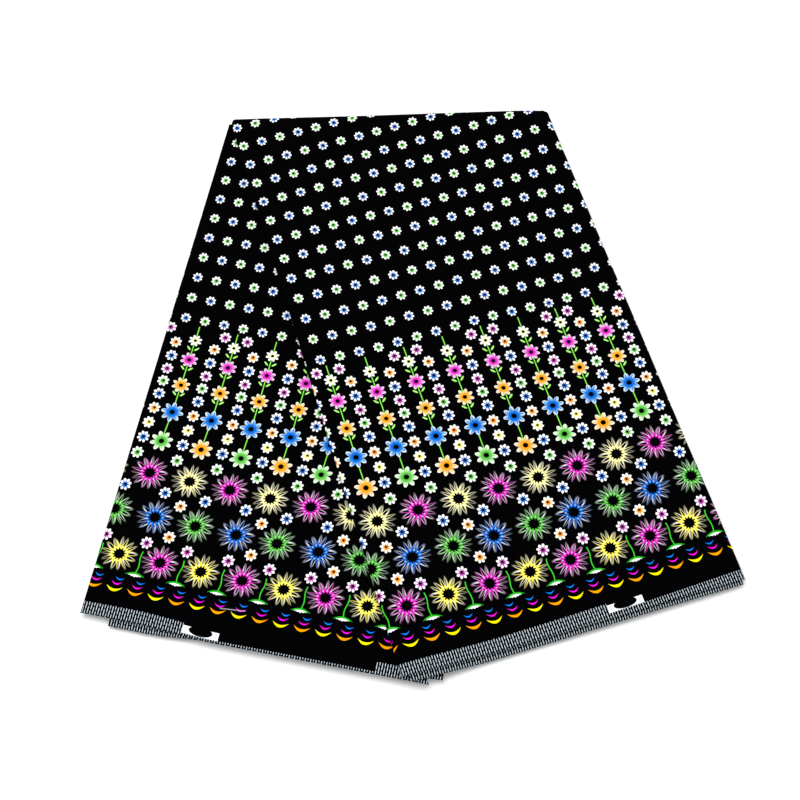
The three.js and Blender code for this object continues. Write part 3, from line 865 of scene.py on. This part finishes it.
def stem_flowers(add, u, v, level):
    """Flowers on the stems: eight petals, inked at the heart and pale inside, with white rims and
    a white streak each, round a black middle."""
    x, first = column_places(add, u, FIRST_STEM)
    shapes = row_stops(
        STEM_FLOWERS,
        lambda row: (
            row["middle"] / PRINT_HEIGHT, row["radius"] / RAMP_RADIUS, row["turn"] / RAMP_TURN, 1
        ),
    )
    shape = add("SeparateXYZ", add("ValToRGB", level, stops=shapes))
    y = add("Math.MULTIPLY_ADD", shape.outputs["X"], -PRINT_HEIGHT, v)
    radius = add("Math.MULTIPLY", shape.outputs["Y"], RAMP_RADIUS)
    turn = add("Math.MULTIPLY", shape.outputs["Z"], math.radians(RAMP_TURN))
    away, angle = polar(add, x, y)
    share = add("Math.DIVIDE", away, radius)
    across, along = petal_places(add, angle, share, turn, STEM_FLOWER_PETALS)
    in_petal = ellipse(add, across, along, *STEM_FLOWER_PETAL.values())
    petal = add("Math.LESS_THAN", in_petal, 1)
    heart = add("Math.LESS_THAN", share, STEM_FLOWER_HEART)
    mask = add("Math.MAXIMUM", petal, heart)
    mask = between(add, mask, v, STEM_FLOWER_FOOT, STEM_FLOWER_TOP)
    below_blue = add("Math.LESS_THAN", v, STEM_FLOWERS[1]["from"])
    green_foot = add("Math.MULTIPLY", add("Math.SUBTRACT", 1, first), below_blue)
    tones = []
    for tone in ("full", "pale"):
        ink = add("ValToRGB", level, stops=ink_stops(STEM_FLOWERS, "ink", tone))
        tones.append(add("MixRGB", green_foot, ink, linear(INKS["green"][tone])))
    paler = add("MapRange", share, *STEM_FLOWER_PALES, **SOFT)
    colour = add("MixRGB", paler, *tones)
    # Wax kept the rims and a streak down each petal white
    rim = add("MapRange", in_petal, *STEM_FLOWER_RIM, 0, 0.85, **SOFT)
    outer = add("MapRange", share, *STEM_FLOWER_WHITENS, **SOFT)
    off_streak = add("Math.ABSOLUTE", add("Math.SUBTRACT", across, STEM_FLOWER_STREAK))
    streak = add("MapRange", off_streak, 0.02, 0.06, 0.6, 0)
    white = add("Math.MULTIPLY", add("Math.MAXIMUM", rim, streak), outer)
    colour = add("MixRGB", white, colour, linear(WHITE))
    from_middle = add("MapRange", share, *STEM_FLOWER_MIDDLE)
    return mask, add("MixRGB", from_middle, linear(GROUND), colour)


def starbursts(add, u, v, level):
    """Loose flowers, scribbled as long thin loops in pairs, white on one side and inked on the
    other. They fade outwards, and run into a bright ring round a jagged black middle."""
    y = add("Math.SUBTRACT", v, BURST_ROW)
    y = add("Math.WRAP", y, BURST_STEP / 2, -BURST_STEP / 2)
    middle_row = between(add, 1, v, BURSTS[1]["from"], BURSTS[2]["from"])
    moved = add("Math.MULTIPLY_ADD", middle_row, -MID_COLUMN - BURST_AHEAD, u)
    x, first = column_places(add, moved, FIRST_STEM)
    first_ink = add("ValToRGB", level, stops=ink_stops(BURSTS, "first", "full"))
    second_ink = add("ValToRGB", level, stops=ink_stops(BURSTS, "second", "full"))
    ink = add("MixRGB", first, second_ink, first_ink)
    away, angle = polar(add, x, y)
    # Drawn by hand: the loops lean together in pairs, bend, and differ in length
    loop_count = 2 * BURST_PAIRS
    pairing = add("Math.SINE", add("Math.MULTIPLY", angle, BURST_PAIRS))
    bend = add("Math.SINE", add("Math.MULTIPLY_ADD", angle, 3, 1.1))
    bent = add("Math.MULTIPLY_ADD", bend, BURST_BEND, angle)
    bent = add("Math.MULTIPLY_ADD", pairing, BURST_LEAN, bent)
    unlike = add("Math.SINE", add("Math.MULTIPLY_ADD", angle, 5, 0.6))
    petals = add("Math.COSINE", add("Math.MULTIPLY", angle, BURST_PAIRS))
    length = add("Math.MULTIPLY_ADD", unlike, BURST_UNEVEN, 1)
    length = add("Math.MULTIPLY_ADD", petals, -BURST_UNEVEN, length)
    sized = add("Math.DIVIDE", away, length)
    across, along = petal_places(add, bent, sized, math.pi / loop_count, loop_count)
    loops = ellipse(add, across, along, *BURST_LOOPS.values(), straight_foot=True)
    off_stroke = add("Math.ABSOLUTE", add("Math.SUBTRACT", loops, BURST_STROKE))
    strokes = add("MapRange", off_stroke, *BURST_STROKE_WIDTH, 1, 0, **SOFT)
    # Two opposite petals are filled in thinly
    off_filled = add("Math.SUBTRACT", angle, math.radians(BURST_FILLED_TURN))
    filled = add("Math.ABSOLUTE", add("Math.COSINE", off_filled))
    filled = add("MapRange", filled, 0.93, 0.97, 0, 0.35, **SOFT)
    filled = add("Math.MULTIPLY", filled, add("Math.LESS_THAN", loops, 0.8))
    strokes = add("Math.MAXIMUM", strokes, filled)
    strokes = add("Math.MULTIPLY", strokes, add("MapRange", away, *BURST_FADE, 1, 0.2))
    points = add("Math.MULTIPLY", angle, BURST_HEART_POINTS / (2 * math.pi))
    jag = add("Math.MULTIPLY", add("Math.PINGPONG", points, 0.5), 2)
    jag = add("Math.POWER", jag, 1.8)
    inner = add("Math.MULTIPLY_ADD", jag, BURST_HEART_POINT, BURST_HEART)
    ring = add("Math.COSINE", add("Math.MULTIPLY", bent, loop_count))
    ring = add("Math.MULTIPLY_ADD", ring, BURST_RING_WAVE, BURST_RING)
    solid = add("MapRange", add("Math.SUBTRACT", away, ring), -0.7, 0.9, 1, 0)
    mask = add("Math.MAXIMUM", strokes, solid)
    mask = add("Math.MULTIPLY", mask, add("Math.GREATER_THAN", away, inner))
    mask = between(add, mask, v, BURST_FOOT, BURST_TOP)
    white = add("MapRange", across, -0.5, 0.7, 0.05, 0.75)
    outer = add("MapRange", away, *BURST_WHITENS, **SOFT)
    white = add("Math.MULTIPLY", white, outer)
    streaks = add("Math.SINE", add("Math.MULTIPLY_ADD", angle, 13, 0.8))
    streaks = add("MapRange", streaks, 0.3, 0.9, 0, 0.5)
    streaks = add("Math.MULTIPLY", streaks, add("Math.GREATER_THAN", away, 6))
    white = add("Math.MAXIMUM", white, streaks)
    colour = add("MixRGB", white, ink, linear(WHITE))
    # One petal is nearly worn away
    worn = add("Math.COSINE", add("Math.SUBTRACT", angle, math.radians(BURST_WORN_TURN)))
    worn = add("MapRange", worn, 0.9, 0.96, 0, 0.65, **SOFT)
    worn = add("Math.MULTIPLY", worn, outer)
    return mask, add("MixRGB", worn, colour, linear(WORN_GREY))


def crescents(add, u, v):
    """Stacks of three crescents, points up. Every other stack starts with a warmer one."""
    off = add("Math.SUBTRACT", u, CRESCENT_FIRST)
    x = add("Math.WRAP", off, FIELD_STEP / 2, -FIELD_STEP / 2)
    off_pair = add("Math.ABSOLUTE", add("Math.WRAP", off, FIELD_STEP, -FIELD_STEP))
    second = add("Math.GREATER_THAN", off_pair, FIELD_STEP / 2)
    mask = None
    colour = None
    for arc in CRESCENTS:
        side = add("Math.MULTIPLY_ADD", x, 2 / arc["width"], -2 * arc["aside"] / arc["width"])
        bow = add("Math.MULTIPLY", side, side)
        rise = arc["tips"] - arc["bottom"]
        low = add("Math.MULTIPLY_ADD", bow, rise, arc["bottom"])
        high = add("Math.MULTIPLY_ADD", bow, rise - arc["thick"], arc["bottom"] + arc["thick"])
        above = add("Math.GREATER_THAN", v, low)
        shape = add("Math.MULTIPLY", above, add("Math.LESS_THAN", v, high))
        if mask is None:
            mask = shape
            colour = add("MixRGB", second, linear(arc["ink"]), linear(SECOND_CRESCENT))
        else:
            mask = add("Math.MAXIMUM", mask, shape)
            colour = add("MixRGB", shape, colour, linear(arc["ink"]))
    return mask, colour


def tufts(add, u, v):
    """A tuft of leaves, green over white, with a curved stem up from it."""
    x, first = column_places(add, u, FIRST_STEM + MID_COLUMN)
    side = add("Math.MULTIPLY", x, 1 / TUFT_HALF_WIDTH)
    bow = add("Math.MULTIPLY", side, side)
    top = add("Math.MULTIPLY_ADD", bow, TUFT_TIPS - TUFT_TOP, TUFT_TOP)
    inward = add("Math.MULTIPLY_ADD", add("Math.ABSOLUTE", x), -1 / TUFT_FOOT_HALF_WIDTH, 1)
    inward = add("Math.MAXIMUM", inward, 0)
    foot = add("Math.MULTIPLY_ADD", inward, TUFT_POINT - TUFT_TIPS, TUFT_TIPS)
    foot = add("Math.MULTIPLY_ADD", add("Math.PINGPONG", x, TUFT_LEAF), TUFT_JAG, foot)
    tuft = add("Math.MULTIPLY", add("Math.LESS_THAN", v, top), add("Math.GREATER_THAN", v, foot))
    green = add("Math.GREATER_THAN", v, add("Math.SUBTRACT", top, TUFT_GREEN_DEPTH))
    colour = add("MixRGB", green, linear(WHITE), linear(TUFT_GREEN))
    mirrored = add("Math.MULTIPLY_ADD", first, 2, -1)
    turns = 2 * math.pi / CURVED_STEM_WAVE
    swing = add("Math.SINE", add("Math.MULTIPLY_ADD", v, turns, -turns * TUFT_TOP))
    swing = add("Math.MULTIPLY", swing, mirrored)
    line_x = add("Math.MULTIPLY_ADD", swing, CURVED_STEM_SWING, x)
    line = add("Math.LESS_THAN", add("Math.ABSOLUTE", line_x), STEM_HALF_WIDTH)
    line = between(add, line, v, CURVED_STEM_FOOT, CURVED_STEM_TOP)
    return add("Math.MAXIMUM", tuft, line), add("MixRGB", line, colour, linear(CURVED_STEM_GREEN))


def lint(add, u, v):
    """A stray end of pale thread, pressed flat on the left panel above the hatch."""
    along = add("Math.SUBTRACT", u, LINT_MIDDLE.x)
    level = add("Math.MULTIPLY_ADD", along, LINT_SLOPE, LINT_MIDDLE.y)
    off = add("Math.ABSOLUTE", add("Math.SUBTRACT", v, level))
    within = add("Math.LESS_THAN", add("Math.ABSOLUTE", along), LINT_HALF_LENGTH)
    mask = add("Math.MULTIPLY", add("MapRange", off, *LINT_BLUR, LINT_COVER, 0), within)
    return mask, linear(LINT_GREY)


def hatch(add, s, t):
    """Columns of long white dashes, staggered, and the white label block, bare but for a plain
    dark oval."""
    column = add("Math.MULTIPLY", s, 1 / DASH_STEP)
    x = add("Math.MULTIPLY", add("Math.WRAP", column, 0.5, -0.5), DASH_STEP)
    stagger = add("Math.MULTIPLY", add("Math.FLOOR", add("Math.ADD", column, 0.5)), 0.5)
    turns = add("Math.MULTIPLY_ADD", t, 1 / DASH_ROW, stagger)
    y = add("Math.ABSOLUTE", add("Math.WRAP", turns, 0.5, -0.5))
    dash = add("Math.LESS_THAN", y, DASH_SHARE / 2)
    width = add("MapRange", y, 0.3, DASH_SHARE / 2, DASH_HALF_WIDTH, DASH_TIP * DASH_HALF_WIDTH)
    dash = add("Math.MULTIPLY", dash, add("Math.LESS_THAN", add("Math.ABSOLUTE", x), width))
    low = between(add, 1, s, 0, LOW_HATCH_LENGTH)
    top = add("Math.MULTIPLY_ADD", low, LOW_HATCH_HEIGHT - HATCH_HEIGHT, HATCH_HEIGHT)
    dash = add("Math.MULTIPLY", dash, add("Math.LESS_THAN", t, top))
    block = between(add, 1, s, 0, BLOCK_LENGTH)
    block = between(add, block, t, BLOCK_FOOT, BLOCK_TOP)
    off = add("Math.ABSOLUTE", add("Math.SUBTRACT", s, BLOCK_LENGTH / 2))
    oval_x = add("Math.MULTIPLY", off, 1 / OVAL_HALF_LENGTH)
    oval_y = add("Math.MULTIPLY_ADD", t, 1 / OVAL_HALF_HEIGHT, -OVAL_HEIGHT / OVAL_HALF_HEIGHT)
    off_oval = add("Math.GREATER_THAN", squares(add, oval_x, oval_y), 1)
    block = add("Math.MULTIPLY", block, off_oval)
    patch_middle = BLOCK_LENGTH / 2 - LILAC_INSET - LILAC_HALF_LENGTH
    patch = add("Math.COMPARE", off, patch_middle, LILAC_HALF_LENGTH)
    patch = between(add, patch, t, BLOCK_FOOT + LILAC_INSET, BLOCK_TOP - LILAC_INSET)
    colour = add("MixRGB", patch, linear(LABEL_WHITE), linear(LABEL_LILAC))
    return add("Math.MAXIMUM", dash, block), add("MixRGB", block, linear(DASH_WHITE), colour)


def printed_cotton():
    """Plain-woven cotton, wax-printed with bright inks on a black ground. The dyed ground
    swallows nearly all light, and the thin inks let the white cloth under them shine."""
    material = bpy.data.materials.new("printed_cotton")
    material.use_nodes = True
    tree = material.node_tree
    tree.nodes.clear()

    def add(kind, *inputs, **settings):
        return add_node(tree, kind, *inputs, **settings)

    at = add("SeparateXYZ", add("UVMap", uv_map="print"))
    u, v = at.outputs["X"], at.outputs["Y"]
    level = add("Math.MULTIPLY", v, 1 / PRINT_HEIGHT)
    edge = add("SeparateXYZ", add("UVMap", uv_map="hatch"))
    field = add("SeparateXYZ", add("UVMap", uv_map="field"))
    layers = [
        stems(add, u, v, level),
        stem_flowers(add, u, v, level),
        starbursts(add, u, v, level),
        tufts(add, u, v),
        crescents(add, u, v),
        small_daisies(add, u, v, level, field),
        hatch(add, edge.outputs["X"], edge.outputs["Y"]),
        lint(add, u, v),
    ]
    colour = linear(GROUND)
    for mask, ink in layers:
        colour = add("MixRGB", mask, colour, ink)
    # Ink took unevenly from thread to thread: faint mottling, 2 mm across
    mottle = add("TexNoise", add("UVMap", uv_map="print"), None, 0.5, 2)
    worn = add("MapRange", mottle, 0.3, 0.7, 0.88, 1)
    colour = add("VectorMath.SCALE", colour, None, None, worn)
    # Plain weave: threads over and under, both ways
    threads = 2 * math.pi / THREAD_STEP
    weft = add("Math.SINE", add("Math.MULTIPLY", v, threads))
    warp = add("Math.SINE", add("Math.MULTIPLY", u, threads))
    weave = add("Bump", 0.35, THREAD_RISE * MM, None, add("Math.MULTIPLY", weft, warp))
    shader = add("BsdfPrincipled", colour)
    tree.links.new(weave.outputs[0], shader.inputs["Normal"])
    shader.inputs["Roughness"].default_value = 0.9
    shader.inputs["Specular IOR Level"].default_value = 0.01
    add("OutputMaterial", shader)
    return material


# Studio, in metres and watts
FLOOR_HALF = 3.0
SKY_STRENGTH = 0.85
LAMP_WIDTH = 2.2
LAMP_POWER = 42
LAMP_PLACE = Vector((-0.5, 0.3, 2.4))


def studio():
    """Pale floor, and soft light from above and around."""
    floor_mesh = bpy.data.meshes.new("floor")
    corners = [(x * FLOOR_HALF, y * FLOOR_HALF, 0) for x, y in ((-1, -1), (1, -1), (1, 1), (-1, 1))]
    floor_mesh.from_pydata(corners, [], [(0, 1, 2, 3)])
    floor = bpy.data.objects.new("floor", floor_mesh)
    bpy.context.scene.collection.objects.link(floor)
    paper = bpy.data.materials.new("pale_floor")
    paper.use_nodes = True
    shader = paper.node_tree.nodes["Principled BSDF"]
    shader.inputs["Base Color"].default_value = linear("#FAFAFA")
    shader.inputs["Roughness"].default_value = 0.95
    shader.inputs["Specular IOR Level"].default_value = 0.1
    floor_mesh.materials.append(paper)

    world = bpy.data.worlds.new("studio")
    bpy.context.scene.world = world
    world.use_nodes = True
    sky = world.node_tree.nodes["Background"]
    sky.inputs["Color"].default_value = (1, 1, 1, 1)
    sky.inputs["Strength"].default_value = SKY_STRENGTH

    lamp = bpy.data.lights.new("softbox", "AREA")
    lamp.shape = "DISK"
    lamp.size = LAMP_WIDTH
    lamp.energy = LAMP_POWER
    box = bpy.data.objects.new("softbox", lamp)
    box.location = LAMP_PLACE
    box.rotation_euler = (-LAMP_PLACE).to_track_quat("-Z", "Y").to_euler()
    bpy.context.scene.collection.objects.link(box)


# Camera, matched to the picture: elevation and roll in degrees, the rest in mm
VIEW_ELEVATION = 61.28
VIEW_ROLL = 0.13
VIEW_DISTANCE = 1609
VIEW_FOCUS = Vector((-11.45, -29.44, 12))
VIEW_FOCAL_LENGTH = 1847.6 / PICTURE_SIDE  # of the sensor's width


def camera():
    data = bpy.data.cameras.new("camera")
    data.sensor_width = 36
    data.lens = VIEW_FOCAL_LENGTH * data.sensor_width
    data.clip_end = 50
    eye = bpy.data.objects.new("camera", data)
    elevation = math.radians(VIEW_ELEVATION)
    forward = Vector((0, math.cos(elevation), -math.sin(elevation)))
    tilt = Matrix.Rotation(math.pi / 2 - elevation, 4, "X")
    roll = Matrix.Rotation(math.radians(VIEW_ROLL), 4, "Z")
    place = (VIEW_FOCUS - forward * VIEW_DISTANCE) * MM
    eye.matrix_world = Matrix.Translation(place) @ tilt @ roll
    bpy.context.scene.collection.objects.link(eye)
    bpy.context.scene.camera = eye


camera()
studio()
bpy.context.scene.view_settings.view_transform = "Standard"

cloth = printed_cotton()
pieces = {
    "right_panel": right_panel(),
    "left_panel": left_panel(),
    "right_under_ply": under_ply("right"),
    "left_under_ply": under_ply("left"),
}
heaps = [heap("left"), heap("right")]
for node_name, piece in pieces.items():
    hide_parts(node_name)
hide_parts("folded_layers")
for piece in [*pieces.values(), *heaps]:
    piece.data.materials.append(cloth)
    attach(piece, "root")
